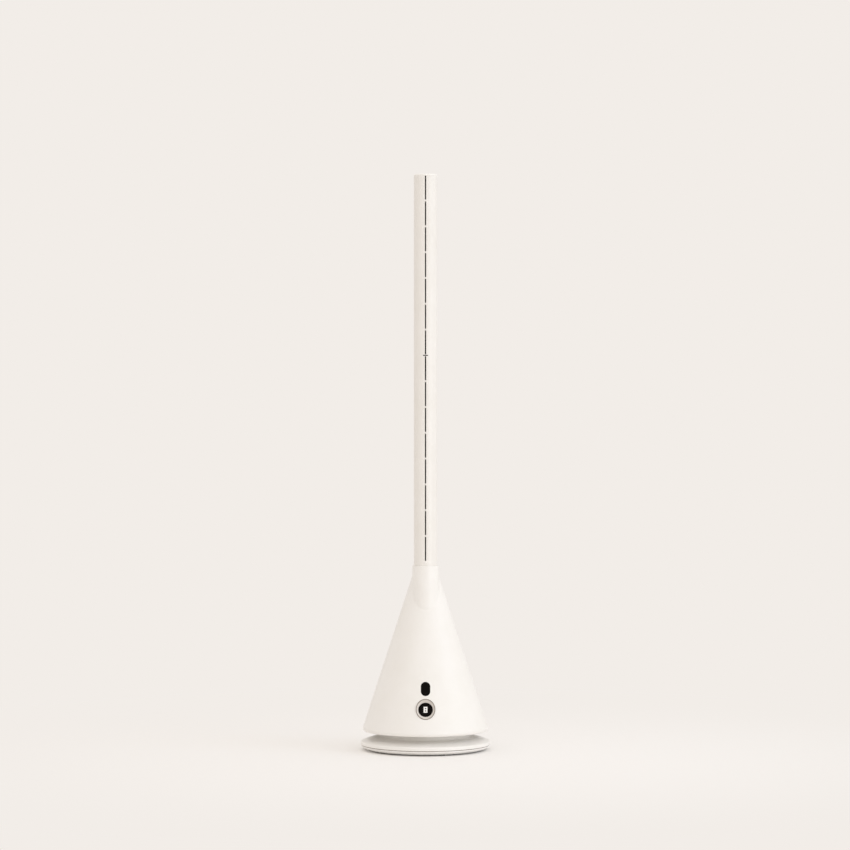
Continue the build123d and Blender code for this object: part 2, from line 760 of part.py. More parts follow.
for side_x in (-1, 1):
    for side_y in (-1, 1):
        standoff_points.append(
            (
                side_x * (main_board_x / 2 - standoff_radius),
                main_board_y + side_y * (main_board_depth / 2 - standoff_radius),
            )
        )
for x, y in standoff_points:
    head_floor += pillar(standoff_radius, floor_top, main_board_level, x, y)
    head_floor -= pillar(
        board_screw_radius + slip, main_screw_tip - slip, main_board_level + through, x, y
    )
parts["head_floor"] = head_floor

table_screw = Rot(180, 0, 0) * screw(
    table_screw_radius, table_screw_head, table_screw_length, table_screw_head_height
)
table_screws = []
for x, y in table_screw_points:
    table_screws.append(Pos(x, y, table_bottom - table_screw_head_height) * table_screw)
parts["turntable_screws"] = Compound(children=table_screws)

# ------------------------------------------------------------------ cone shell with its collar
tilt = radians(slope_angle)
round_tangent = cone_edge_round * tan((pi / 2 + tilt) / 2)
round_low = (cone_bottom_radius - round_tangent, skirt_bottom)
round_high = (
    cone_bottom_radius - round_tangent * sin(tilt),
    skirt_bottom + round_tangent * cos(tilt),
)
round_centre = Vector(cone_bottom_radius - round_tangent, skirt_bottom + cone_edge_round)
to_corner = (Vector(cone_bottom_radius, skirt_bottom) - round_centre).normalized()
round_middle = round_centre + to_corner * cone_edge_round
column_y = -column_offset
hollow_top = collar_top - crown_height


def cone_solid(inset):
    """Cone with its lower edge rounded; a positive inset gives the hollow above the head floor."""
    shift = inset / cos(tilt)
    if inset:
        outline = Polyline(
            (0, floor_top),
            (cone_radius(floor_top) - shift, floor_top),
            (cone_radius(hollow_top) - shift, hollow_top),
            (0, hollow_top),
            close=True,
        )
        return turned(outline)
    side_end = (cone_top_radius, collar_top)
    outline = Line((0, skirt_bottom), round_low)
    outline += ThreePointArc(round_low, round_middle, round_high)
    outline += Line(round_high, side_end) + Line(side_end, (0, collar_top))
    outline += Line((0, collar_top), (0, skirt_bottom))
    return turned(outline)


cone_outer = cone_solid(0)
cone_inner = cone_solid(shell_wall)
collar = pillar(collar_radius, floor_top, collar_top, 0, column_y)
shell_outer = cone_outer + collar

# ------------------------------------------------------------------ cone shell: blend, hollow, ledge
blend_edges = shell_outer.edges().filter_by(
    lambda e: e.geom_type not in (GeomType.CIRCLE, GeomType.LINE)
    and e.bounding_box().min.Y < column_y - collar_radius + through
)
shell_outer = fillet(blend_edges, collar_blend)
top_edges = shell_outer.faces().sort_by(Axis.Z)[-1].edges()
shell_outer = fillet(top_edges, collar_top_round)

collar_foot = column_seat - seat_height
hollow = cone_inner - pillar(collar_radius, collar_foot, collar_top, 0, column_y)
hollow += pillar(cone_rim_opening, skirt_bottom - through, floor_top)
cone_shell = shell_outer - hollow
cone_shell -= pillar(column_radius + slip, column_seat, collar_top + through, 0, column_y)
cone_shell -= pillar(
    spigot_radius + moving_gap, duct_neck_level, column_seat + through, 0, column_y
)


def hollow_radius(level):
    """Radius of the hollow inside the cone's wall at a level."""
    return cone_radius(level) - wall_across


ledge_top = ledge_level + ledge_thickness
ledge_outer = hollow_radius(ledge_top) + shell_wall / 2
cone_shell += ring(ledge_outer, hollow_radius(ledge_level) - ledge_width, ledge_level, ledge_top)
casing_screw_circle = hollow_radius(ledge_level) - ledge_width / 2
casing_screw_points = list(on_circle(casing_screw_circle, casing_screw_count, 30))
casing_head_bottom = ledge_level - seal_height - casing_flange - casing_screw_head_height
casing_screw_tip = casing_head_bottom + casing_screw_length
for x, y in casing_screw_points:
    cone_shell += pillar(ledge_boss_radius, ledge_level, ledge_top + ledge_boss_height, x, y)
    cone_shell -= pillar(
        casing_screw_radius + slip, ledge_level - through, casing_screw_tip + slip, x, y
    )
shell_head_bottom = floor_bottom - shell_screw_head_height
shell_screw_tip = shell_head_bottom + shell_screw_length
for x, y in shell_post_points:
    post = pillar(shell_post_radius, floor_top, floor_top + shell_post_height, x, y)
    cone_shell += post & cone_outer
    cone_shell -= pillar(shell_screw_radius + slip, floor_top, shell_screw_tip + slip, x, y)

shell_screw = Rot(180, 0, 0) * screw(
    shell_screw_radius, shell_screw_head, shell_screw_length, shell_screw_head_height
)
shell_screws = []
for x, y in shell_post_points:
    shell_screws.append(Pos(x, y, shell_head_bottom) * shell_screw)
parts["shell_screws"] = Compound(children=shell_screws)

# ------------------------------------------------------------------ rear intake: window, grille, filter
rear = 90
grille_middle = (grille_bottom + grille_top) / 2
margin_angle = degrees(grille_margin / cone_radius(grille_middle))
gap_angle = degrees(panel_gap / cone_radius(grille_middle))
lap_angle = degrees(grille_lap / cone_radius(grille_middle))


def window(half_angle, bottom, top, corner):
    """Block that cuts a window with rounded corners in the back of the cone."""
    block = sector(cone_bottom_radius, half_angle, bottom, top, rear)
    long_edges = block.edges().filter_by(
        lambda e: abs(e.length - wedge_reach * cone_bottom_radius) < 0.01
    )
    return fillet(long_edges, corner)


def cone_layer(near, far):
    """Layer of the cone between two depths below its outer surface."""
    outer = cone_outer if near == 0 else cone_solid(near)
    return outer - cone_solid(far)


cone_shell -= window(grille_half_angle, grille_bottom, grille_top, grille_corner)
panel_block = window(
    grille_half_angle - gap_angle,
    grille_bottom + panel_gap,
    grille_top - panel_gap,
    grille_corner - panel_gap,
)
frame_block = window(
    grille_half_angle + lap_angle, grille_bottom - grille_lap, grille_top + grille_lap, grille_corner
)
frame_hole = window(
    grille_half_angle - margin_angle,
    grille_bottom + grille_margin,
    grille_top - grille_margin,
    grille_corner / 2,
)
panel = cone_layer(0, shell_wall) & panel_block
frame = cone_layer(shell_wall, shell_wall + grille_frame) & (frame_block - frame_hole)
intake_grille = panel + frame
row_space = grille_top - grille_bottom - 2 * grille_margin - (grille_rows - 1) * grille_bar
row_height = row_space / grille_rows
column_angle = 2 * (grille_half_angle - margin_angle) / grille_columns
slot_near = hollow_radius(grille_top) - through
slot_far = cone_bottom_radius + through
slot_cut = Pos(0, -(slot_near + slot_far) / 2, 0) * (
    Box(grille_slot_width, slot_far - slot_near, row_height)
)
slots = []
for row in range(grille_rows):
    level = grille_bottom + grille_margin + row_height / 2 + row * (row_height + grille_bar)
    for column in range(grille_columns):
        angle = (column - (grille_columns - 1) / 2) * column_angle
        slots.append(Rot(0, 0, 180 + angle) * Pos(0, 0, level) * slot_cut)
intake_grille -= slots
parts["intake_grille"] = intake_grille

filter_near = shell_wall + grille_frame + filter_gap
filter_block = sector(
    cone_bottom_radius, grille_half_angle + lap_angle, floor_top, grille_top + grille_lap, rear
)
parts["air_filter"] = cone_layer(filter_near, filter_near + filter_thickness) & filter_block

# ------------------------------------------------------------------ blower casing and its seal
flange_top = ledge_level - seal_height
flange_bottom = flange_top - casing_flange
casing_top = flange_top + casing_height
casing_radius = hollow_radius(casing_top) - casing_clearance
casing_outer = casing_radius + casing_wall
flange_radius = hollow_radius(flange_top) - slip
bell_edge = casing_radius + bell_radius
bell_level = flange_bottom + bell_radius
bell_turn = bell_radius * (1 - cos(radians(45)))
bell_back = bell_radius - casing_flange
back_turn = bell_back * (1 - cos(radians(45)))
casing_outline = Line((bell_edge, flange_bottom), (flange_radius, flange_bottom))
casing_outline += Line((flange_radius, flange_bottom), (flange_radius, flange_top))
casing_outline += Line((flange_radius, flange_top), (bell_edge, flange_top))
casing_outline += ThreePointArc(
    (bell_edge, flange_top),
    (bell_edge - bell_back + back_turn, flange_top + back_turn),
    (bell_edge - bell_back, bell_level),
)
casing_outline += Line((bell_edge - bell_back, bell_level), (casing_outer, casing_top))
casing_outline += Line((casing_outer, casing_top), (casing_radius, casing_top))
casing_outline += Line((casing_radius, casing_top), (casing_radius, bell_level))
casing_outline += ThreePointArc(
    (casing_radius, bell_level),
    (casing_radius + bell_turn, flange_bottom + bell_turn),
    (bell_edge, flange_bottom),
)
blower_casing = turned(casing_outline)
seal_radius = hollow_radius(ledge_level) - slip
casing_seal = ring(seal_radius, hollow_radius(ledge_level) - ledge_width, flange_top, ledge_level)
casing_screw = Rot(180, 0, 0) * screw(
    casing_screw_radius, casing_screw_head, casing_screw_length, casing_screw_head_height
)
casing_screws = []
for x, y in casing_screw_points:
    hole = pillar(
        casing_screw_radius + slip, flange_bottom - through, ledge_level + through, x, y
    )
    blower_casing -= hole
    casing_seal -= hole
    casing_screws.append(Pos(x, y, casing_head_bottom) * casing_screw)
parts["blower_casing"] = blower_casing
parts["casing_seal"] = casing_seal
parts["casing_screws"] = Compound(children=casing_screws)

# ------------------------------------------------------------------ impeller on its shaft
impeller_bottom = flange_bottom + impeller_lift
impeller_top = impeller_bottom + impeller_height
impeller_radius = casing_radius - impeller_tip_gap
impeller_eye = impeller_radius - impeller_eye_step
impeller_back = impeller_radius - impeller_back_step
waist = impeller_bottom + waist_share * impeller_height
shroud_waist = impeller_eye + shroud_waist_share * impeller_eye_step


def shroud_curve(offset):
    """Meridian of the shroud from the eye to the outlet, moved outwards by an offset."""
    return ThreePointArc(
        (impeller_eye + offset, impeller_bottom),
        (shroud_waist + offset, waist),
        (impeller_radius + offset, impeller_top),
    )


inner_curve = shroud_curve(0)
outer_curve = shroud_curve(shroud_wall)
shroud = turned(
    inner_curve
    + outer_curve
    + Line(inner_curve @ 0, outer_curve @ 0)
    + Line(inner_curve @ 1, outer_curve @ 1)
)
hub_waist = impeller_hub + hub_waist_share * (impeller_back - impeller_hub)
hub_start = impeller_bottom + hub_lift
hub_edge = impeller_top - impeller_rim
hub = turned(
    Line((0, hub_start), (impeller_hub, hub_start))
    + ThreePointArc((impeller_hub, hub_start), (hub_waist, waist), (impeller_back, hub_edge))
    + Line((impeller_back, hub_edge), (impeller_back, impeller_top))
    + Line((impeller_back, impeller_top), (0, impeller_top))
    + Line((0, impeller_top), (0, hub_start))
)
middle_curve = shroud_curve(shroud_wall / 2)
blade_room = turned(
    middle_curve
    + Line(middle_curve @ 1, (0, impeller_top))
    + Line((0, impeller_top), (0, impeller_bottom))
    + Line((0, impeller_bottom), middle_curve @ 0)
)


def vane(start, end, sweep, thickness, bottom, top):
    """Upright curved blade from one radius to another, trailing by the sweep angle."""
    tip = Vector(end, 0).rotate(Axis.Z, sweep)
    middle_radius = (start + end) / 2
    bow = Vector(middle_radius, 0).rotate(Axis.Z, vane_bow * sweep)
    arc = ThreePointArc((start, 0), (bow.X, bow.Y), (tip.X, tip.Y))
    return extrude(Pos(0, 0, bottom) * trace(arc, thickness), top - bottom)


blade = vane(
    blade_start,
    impeller_radius + through,
    blade_sweep,
    blade_thickness,
    impeller_bottom + blade_lift,
    impeller_top,
)
blades = []
for number in range(blade_count):
    blades.append(Rot(0, 0, 360 * number / blade_count) * (blade & blade_room))
impeller = shroud + hub + blades
hollow_depth = back_hollow_depth * impeller_height
back_hollow = Pos(0, 0, impeller_top - hollow_depth / 2) * Cone(
    back_hollow_floor * impeller_back, back_hollow_mouth * impeller_back, hollow_depth
)
impeller -= back_hollow - pillar(2 * rotor_shaft_radius, impeller_bottom, impeller_top)
impeller -= pillar(rotor_shaft_radius + slip / 2, impeller_bottom, impeller_top + through)
parts["impeller"] = impeller

fan_motor_bottom = impeller_top + fan_motor_gap
fan_motor_top = fan_motor_bottom + fan_motor_height
fan_motor_radius = fan_motor_share * casing_radius
shaft_top = fan_motor_top - fan_motor_end
nut_bottom = hub_start - rotor_nut_height
parts["rotor_shaft"] = pillar(rotor_shaft_radius, nut_bottom - rotor_shaft_tip, shaft_top)
nut_section = RegularPolygon(rotor_nut_width / 2, 6, major_radius=False) - Circle(
    rotor_shaft_radius + slip / 2
)
parts["rotor_nut"] = extrude(Pos(0, 0, nut_bottom) * nut_section, rotor_nut_height)

# ------------------------------------------------------------------ fan motor and diffuser
fan_motor = pillar(fan_motor_radius, fan_motor_bottom, fan_motor_top)
fan_motor = fillet(fan_motor.faces().sort_by(Axis.Z)[0].edges(), fan_motor_round)
fan_motor += pillar(
    3 * rotor_shaft_radius, fan_motor_bottom - fan_motor_boss, fan_motor_bottom
)
vent_top = fan_motor_bottom + fan_motor_vent_depth
for x, y in on_circle(fan_motor_radius * fan_motor_vent_share, fan_motor_vents):
    fan_motor -= pillar(fan_motor_vent_radius, fan_motor_bottom - through, vent_top, x, y)
fan_motor -= pillar(rotor_shaft_radius + running, impeller_top, shaft_top + moving_gap)
parts["fan_motor"] = fan_motor

cup_inner = fan_motor_radius + slip
cup_outer = cup_inner + diffuser_wall
cup_top = fan_motor_top + diffuser_wall
diffuser_outer = casing_radius - slip
diffuser_bottom = fan_motor_bottom + diffuser_lift
diffuser = ring(diffuser_outer, diffuser_outer - diffuser_wall, diffuser_bottom, casing_top)
diffuser += pillar(cup_outer, diffuser_bottom, cup_top)
tail = turned(
    Line((0, cup_top), (cup_outer, cup_top))
    + ThreePointArc(
        (cup_outer, cup_top),
        (tail_width_share * cup_outer, cup_top + tail_rise_share * tail_height),
        (0, cup_top + tail_height),
    )
    + Line((0, cup_top + tail_height), (0, cup_top))
)
diffuser += tail
guide = vane(
    cup_outer - diffuser_wall / 2,
    diffuser_outer - diffuser_wall / 2,
    vane_sweep,
    vane_thickness,
    diffuser_bottom,
    fan_motor_top,
)
guides = []
for number in range(vane_count):
    guides.append(Rot(0, 0, 360 * number / vane_count) * guide)
diffuser += guides
diffuser -= pillar(cup_inner, diffuser_bottom - through, fan_motor_top)
parts["diffuser"] = diffuser

# ------------------------------------------------------------------ air duct up into the column
duct_bottom = casing_top
loft_bottom = duct_bottom + duct_flange


def duct_solid(inset):
    """Skewed funnel from the casing to the column, ending in a straight spigot."""
    start = Pos(0, 0, loft_bottom) * Circle(casing_radius - inset)
    end = Pos(0, column_y, duct_neck_level) * Circle(spigot_radius - inset)
    funnel = loft([start, end], ruled=True)
    return funnel + pillar(spigot_radius - inset, duct_neck_level, spigot_top, 0, column_y)


skirt_radius = casing_outer + slip
skirt_bottom_level = duct_bottom - duct_skirt
air_duct = duct_solid(0)
air_duct += pillar(skirt_radius + duct_skirt_wall, skirt_bottom_level, loft_bottom)
air_duct -= duct_solid(duct_wall)
air_duct -= pillar(casing_radius - duct_wall, duct_bottom - through, loft_bottom + slip)
air_duct -= pillar(skirt_radius, skirt_bottom_level - through, duct_bottom)
column_bore = column_radius - column_wall
seal_ring_top = seal_ring_level + seal_ring_height
groove = Pos(0, column_y, 0) * ring(
    spigot_radius + through, spigot_radius - seal_ring_depth, seal_ring_level, seal_ring_top
)
parts["air_duct"] = air_duct - groove
parts["duct_seal"] = Pos(0, column_y, 0) * ring(
    column_bore - slip / 2, spigot_radius - seal_ring_depth, seal_ring_level, seal_ring_top
)

# ------------------------------------------------------------------ column of two slotted sections
# Slots are counted away from the joint, which lies in the middle of one of the bridges.
slot_height = slot_pitch - slot_bridge
first_above = column_joint + slot_bridge / 2
first_below = column_joint - slot_bridge / 2 - slot_height


def slot_cuts(first, count, step, width):
    """Blocks that cut a line of slots through the front of the column."""
    cuts = []
    for number in range(count):
        level = first + number * step + slot_height / 2
        cuts.append(
            Pos(0, column_y - column_radius, level) * Box(width, 2 * column_radius, slot_height)
        )
    return cuts


tube_section = Pos(0, column_y) * (Circle(column_radius) - Circle(column_bore))
key_slot = Pos(0, column_y - column_radius, column_joint) * Box(
    key_width + slip, 2 * column_radius, key_height + slip
)
column_lower = extrude(Pos(0, 0, column_seat) * tube_section, column_joint - column_seat)
column_lower -= slot_cuts(first_below, slots_below, -slot_pitch, slot_width)
parts["column_lower"] = column_lower - key_slot
column_upper = extrude(Pos(0, 0, column_joint) * tube_section, cap_bottom - column_joint)
column_upper -= slot_cuts(first_above, slots_above, slot_pitch, slot_width)
parts["column_upper"] = column_upper - key_slot

top_cap = pillar(column_radius, cap_bottom, total_height, 0, column_y)
top_cap = fillet(top_cap.faces().sort_by(Axis.Z)[-1].edges(), cap_round)
top_cap += pillar(column_bore - slip, cap_bottom - cap_spigot, cap_bottom, 0, column_y)
parts["top_cap"] = top_cap

# Sleeve inside the joint: open behind the slots but for a thin hoop that carries the nib.
sleeve_outer = column_bore - slip
sleeve = ring(
    sleeve_outer, sleeve_outer - sleeve_wall, column_joint - sleeve_reach, column_joint + sleeve_reach
)
sleeve -= sector(
    sleeve_outer,
    sleeve_half_angle,
    column_joint - sleeve_reach - through,
    column_joint + sleeve_reach + through,
    -90,
)
hoop_half = slot_bridge / 2 - panel_gap
sleeve += ring(
    sleeve_outer, sleeve_outer - sleeve_wall, column_joint - hoop_half, column_joint + hoop_half
)
nib = pillar(column_radius, column_joint - key_height / 2, column_joint + key_height / 2)
nib &= Pos(0, -column_radius, column_joint) * Box(key_width, column_radius, slot_bridge)
nib -= pillar(
    sleeve_outer - sleeve_wall / 2, column_joint - slot_bridge, column_joint + slot_bridge
)
parts["column_sleeve"] = Pos(0, column_y, 0) * (sleeve + nib)


def nozzle(bottom, top, first, count, step):
    """Dark inner nozzle: a curved strip behind the slots with two lips that narrow to them."""
    strip = ring(sleeve_outer, sleeve_outer - nozzle_wall, bottom, top)
    strip &= sector(sleeve_outer, nozzle_half_angle, bottom - through, top + through, -90)
    front = -(sleeve_outer - nozzle_wall / 2)
    for side in (-1, 1):
        near = side * (nozzle_slit / 2 + nozzle_wall / 2)
        far = near + side * nozzle_flare
        lip = trace(Line((near, front), (far, front + nozzle_depth)), nozzle_wall)
        strip += extrude(Pos(0, 0, bottom) * lip, top - bottom)
    strip = Pos(0, column_y, 0) * strip
    return strip - slot_cuts(first, count, step, nozzle_slit)


lowest_slot = first_below - (slots_below - 1) * slot_pitch
highest_slot = first_above + (slots_above - 1) * slot_pitch + slot_height
parts["nozzle_lower"] = nozzle(
    lowest_slot - nozzle_margin, column_joint - hoop_half - slip, first_below, slots_below, -slot_pitch
)
parts["nozzle_upper"] = nozzle(
    column_joint + hoop_half + slip,
    min(highest_slot + nozzle_margin, cap_bottom - cap_spigot - slip),
    first_above,
    slots_above,
    slot_pitch,
)

# ------------------------------------------------------------------ controls on the front of the cone
# Their plane touches the cone at the control's centre: x to the right, y up the slope, z outwards.
control_plane = Plane(
    origin=(0, -cone_radius(control_level), control_level),
    x_dir=(1, 0, 0),
    z_dir=(0, -cos(tilt), sin(tilt)),
)
control_place = control_plane.location


def plug(radius, near, far):
    """Round bar along the control's axis between two depths below the cone's surface."""
    return pillar(radius, -far, -near)


cone_shell -= control_place * plug(bezel_radius + slip, -bezel_proud, bezel_length)
button_bore = button_radius + button_gap
flange_level = button_face + button_height - button_flange_height
flange_bore = button_radius + button_flange + button_gap
bezel_back = bezel_flange_depth + bezel_flange
bezel = plug(bezel_radius, -bezel_proud, bezel_length)
bezel += plug(bezel_radius + bezel_flange_width, bezel_flange_depth, bezel_back)
bezel_posts = []
for side_x in (-1, 1):
    for side_y in (-1, 1):
        bezel_posts.append((side_x * bezel_post_reach, side_y * bezel_post_reach))
for x, y in bezel_posts:
    bezel += pillar(bezel_post_radius, -board_depth, -bezel_flange_depth, x, y)
dish_mouth = bezel_radius - bezel_lip
bezel -= plug(dish_mouth, -bezel_proud, bezel_land)
dish_depth = bezel_depth - bezel_land
bezel -= Pos(0, 0, -bezel_land - dish_depth / 2) * Cone(button_bore, dish_mouth, dish_depth)
bezel -= plug(button_bore, -bezel_proud, flange_level)
bezel -= plug(flange_bore, flange_level - button_gap, board_depth)
for x, y in bezel_posts:
    bezel -= pillar(board_screw_radius + slip, -board_depth - through, -bezel_back, x, y)
parts["display_bezel"] = (control_place * bezel) & cone_outer

button = plug(button_radius, button_face, button_face + button_height)
button = fillet(button.faces().sort_by(Axis.Z)[-1].edges(), button_round)
button += plug(
    button_radius + button_flange, flange_level, flange_level + button_flange_height
)
plunger_depth = board_depth - switch_height - switch_plunger_height
stem_end = plunger_depth - button_travel - button_gap
button += plug(button_stem_radius, button_face + button_height, stem_end)
parts["control_button"] = control_place * button

lens_shift = (lens_level - control_level) / cos(tilt)
lens_section = Pos(0, lens_shift) * SlotOverall(lens_length, lens_width, rotation=90)
lens_hole = Pos(0, lens_shift) * SlotOverall(
    lens_length + 2 * slip, lens_width + 2 * slip, rotation=90
)
lens_rim = Pos(0, lens_shift) * SlotOverall(
    lens_length + 2 * lens_flange, lens_width + 2 * lens_flange, rotation=90
)
cone_shell -= control_place * extrude(
    Pos(0, 0, -lens_hole_depth) * lens_hole, lens_hole_depth + bezel_proud
)
lens_depth = lens_thickness + lens_flange
lens_body = extrude(Pos(0, 0, -lens_depth) * lens_section, lens_depth + bezel_proud)
lens_body = (control_place * lens_body) & cone_outer
lens_back = extrude(Pos(0, 0, -lens_depth) * lens_rim, lens_flange)
parts["sensor_lens"] = lens_body + control_place * lens_back
parts["cone_shell"] = cone_shell

board = Pos(0, (board_rise - board_drop) / 2, -board_depth - board_thickness / 2) * Box(
    board_width, board_rise + board_drop, board_thickness
)
board_screw = Rot(180, 0, 0) * screw(
    board_screw_radius, board_screw_head, control_screw_length, board_screw_head_height
)
board_screws = []
board_back = -board_depth - board_thickness
for x, y in bezel_posts:
    board -= pillar(board_screw_radius + slip, board_back - through, through - board_depth, x, y)
    board_screws.append(
        control_place * (Pos(x, y, board_back - board_screw_head_height) * board_screw)
    )
board += Pos(0, lens_shift, -board_depth + sensor_height / 2) * Box(
    sensor_size, sensor_size, sensor_height
)
parts["control_board"] = control_place * board
switch = Pos(0, 0, -board_depth + switch_height / 2) * Box(switch_size, switch_size, switch_height)
switch += pillar(switch_plunger_radius, -board_depth, -plunger_depth)
parts["press_switch"] = control_place * switch

# ------------------------------------------------------------------ main board on the head floor
main_board = Pos(0, main_board_y, main_board_level + board_thickness / 2) * Box(
    main_board_x, main_board_depth, board_thickness
)
board_top = main_board_level + board_thickness
main_screw = screw(
    board_screw_radius, board_screw_head, main_screw_length, board_screw_head_height
)
for x, y in standoff_points:
    main_board -= pillar(
        board_screw_radius + slip, main_board_level - through, board_top + through, x, y
    )
    board_screws.append(Pos(x, y, board_top + board_screw_head_height) * main_screw)
for x, y, width, depth, height in block_sizes:
    main_board += Pos(x, main_board_y + y, board_top + height / 2) * Box(width, depth, height)
capacitor_x, capacitor_y = capacitor_place
main_board += pillar(
    capacitor_radius, board_top, board_top + capacitor_height, capacitor_x, main_board_y + capacitor_y
)
parts["main_board"] = main_board
parts["board_screws"] = Compound(children=board_screws)

# ------------------------------------------------------------------ one file for each piece
os.makedirs("parts", exist_ok=True)
for name, shape in parts.items():
    export_step(shape, f"parts/{name}.step")
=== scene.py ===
"""Looks of a bladeless column fan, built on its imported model. Metres, +Z up, front towards -Y."""
import math

import bpy
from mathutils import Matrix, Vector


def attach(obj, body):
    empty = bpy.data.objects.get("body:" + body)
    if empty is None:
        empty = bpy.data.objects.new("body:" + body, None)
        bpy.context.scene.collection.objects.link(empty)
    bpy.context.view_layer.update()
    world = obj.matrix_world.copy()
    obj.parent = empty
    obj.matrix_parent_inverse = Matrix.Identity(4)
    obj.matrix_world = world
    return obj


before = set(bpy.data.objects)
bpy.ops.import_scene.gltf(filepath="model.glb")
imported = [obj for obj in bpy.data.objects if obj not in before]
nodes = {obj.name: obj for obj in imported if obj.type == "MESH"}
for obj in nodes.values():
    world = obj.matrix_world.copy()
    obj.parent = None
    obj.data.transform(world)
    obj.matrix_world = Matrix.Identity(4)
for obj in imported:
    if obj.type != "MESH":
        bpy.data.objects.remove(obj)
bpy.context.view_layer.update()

# ------------------------------------------------------------------ base plate
# Shallow dish that closes the foot from below and carries the rubber pads. Injection moulded in
# white ABS; its spark-eroded tool leaves a fine grain, which the eye reads as a soft satin.
MM = 0.001


def srgb(code):
    """Linear colour of an sRGB hex value such as F0EBE4."""
    linear = []
    for start in (0, 2, 4):
        value = int(code[start:start + 2], 16) / 255
        linear.append(value / 12.92 if value <= 0.04045 else ((value + 0.055) / 1.055) ** 2.4)
    return (*linear, 1.0)


def add_node(material, kind, links=(), **values):
    """Adds a node, sets its properties or sockets, and links (own socket, node, its output)."""
    node = material.node_tree.nodes.new(kind)
    for name, value in values.items():
        if hasattr(node, name):
            setattr(node, name, value)
        else:
            node.inputs[name.replace("_", " ")].default_value = value
    for socket, source, output in links:
        material.node_tree.links.new(source.outputs[output], node.inputs[socket])
    return node


def moulded(name, light, dark, roughness, grain, depth, ior):
    """Moulded or coated surface: a grain of the given size and depth, faint clouds of colour."""
    material = bpy.data.materials.new(name)
    material.use_nodes = True
    shader = material.node_tree.nodes["Principled BSDF"]
    shader.inputs["IOR"].default_value = ior
    place = add_node(material, "ShaderNodeTexCoord")
    cloud = add_node(
        material, "ShaderNodeTexNoise", [("Vector", place, "Object")],
        Scale=1 / (45 * MM), Detail=3.0, Roughness=0.55,
    )
    shade = add_node(material, "ShaderNodeValToRGB", [("Fac", cloud, "Fac")])
    shade.color_ramp.elements[0].position = 0.35
    shade.color_ramp.elements[0].color = srgb(dark)
    shade.color_ramp.elements[1].position = 0.65
    shade.color_ramp.elements[1].color = srgb(light)
    fine = add_node(
        material, "ShaderNodeTexNoise", [("Vector", place, "Object")],
        Scale=1 / grain, Detail=3.0, Roughness=0.6,
    )
    gloss = add_node(
        material, "ShaderNodeMapRange", [("Value", fine, "Fac")],
        To_Min=roughness - 0.06, To_Max=roughness + 0.06,
    )
    relief = add_node(
        material, "ShaderNodeBump", [("Height", fine, "Fac")], Strength=0.5, Distance=depth
    )
    material.node_tree.links.new(shade.outputs["Color"], shader.inputs["Base Color"])
    material.node_tree.links.new(gloss.outputs["Result"], shader.inputs["Roughness"])
    material.node_tree.links.new(relief.outputs["Normal"], shader.inputs["Normal"])
    return material


def dress(material, *names):
    """Gives CAD nodes a material in place of their plain one."""
    for name in names:
        mesh = nodes[name].data
        for index in range(len(mesh.materials)):
            mesh.materials[index] = material


# The grain of such a tool is about 0.1 mm; it is drawn at 0.6 mm, so that it shows in the render.
base_abs = moulded("abs_white_base", "FBF9F6", "F9F7F3", 0.46, 0.6 * MM, 0.02 * MM, 1.53)
dress(base_abs, "base_plate")

# ------------------------------------------------------------------ rubber pads
# Five round pads glued into pockets of the base plate. Moulded EPDM rubber: dull, dark grey, with
# the fine pitting of a sanded mould.
pad_rubber = moulded("rubber_epdm_dark", "2B2A2A", "232222", 0.82, 0.5 * MM, 0.04 * MM, 1.52)
dress(pad_rubber, "rubber_feet")


# ------------------------------------------------------------------ screws and plated steel
# Countersunk and pan-head screws, the retaining ring and the motor cans: low-carbon steel with a
# clear zinc plating, which is bright but a little clouded.
def plated(name, color, roughness, grain):
    """Plated or turned steel with the clouding of its surface treatment in the gloss."""
    material = bpy.data.materials.new(name)
    material.use_nodes = True
    shader = material.node_tree.nodes["Principled BSDF"]
    shader.inputs["Base Color"].default_value = srgb(color)
    shader.inputs["Metallic"].default_value = 1.0
    place = add_node(material, "ShaderNodeTexCoord")
    cloud = add_node(
        material, "ShaderNodeTexNoise", [("Vector", place, "Object")],
        Scale=1 / grain, Detail=4.0, Roughness=0.6,
    )
    gloss = add_node(
        material, "ShaderNodeMapRange", [("Value", cloud, "Fac")],
        To_Min=roughness - 0.1, To_Max=roughness + 0.1,
    )
    relief = add_node(
        material, "ShaderNodeBump", [("Height", cloud, "Fac")], Strength=0.3, Distance=0.02 * MM
    )
    material.node_tree.links.new(gloss.outputs["Result"], shader.inputs["Roughness"])
    material.node_tree.links.new(relief.outputs["Normal"], shader.inputs["Normal"])
    return material


zinc_steel = plated("steel_zinc_plated", "C3C6CA", 0.34, 2.0 * MM)
dress(
    zinc_steel, "foot_screws", "motor_screws", "gear_screws", "turntable_screws",
    "shell_screws", "casing_screws", "board_screws", "retaining_ring", "rotor_nut",
    "oscillation_motor", "fan_motor",
)
ground_steel = plated("steel_ground", "D2D3D6", 0.22, 0.8 * MM)
dress(ground_steel, "motor_shaft", "rotor_shaft")

# ------------------------------------------------------------------ ballast ring
# Ring in the foot that keeps the tall column from tipping: grey cast iron, sand cast and left raw,
# so it is dark, rough and grainy.
ballast_iron = plated("iron_sand_cast", "5A5A5C", 0.62, 1.2 * MM)
dress(ballast_iron, "ballast_ring")

# ------------------------------------------------------------------ foot cover
# Low dome with the neck on which the head turns, screwed to the base plate from below. White ABS
# as the cone, with the same fine grain.
shell_abs = moulded("abs_white_shell", "F7F4F0", "F5F2ED", 0.42, 0.6 * MM, 0.02 * MM, 1.53)
dress(shell_abs, "foot_cover")

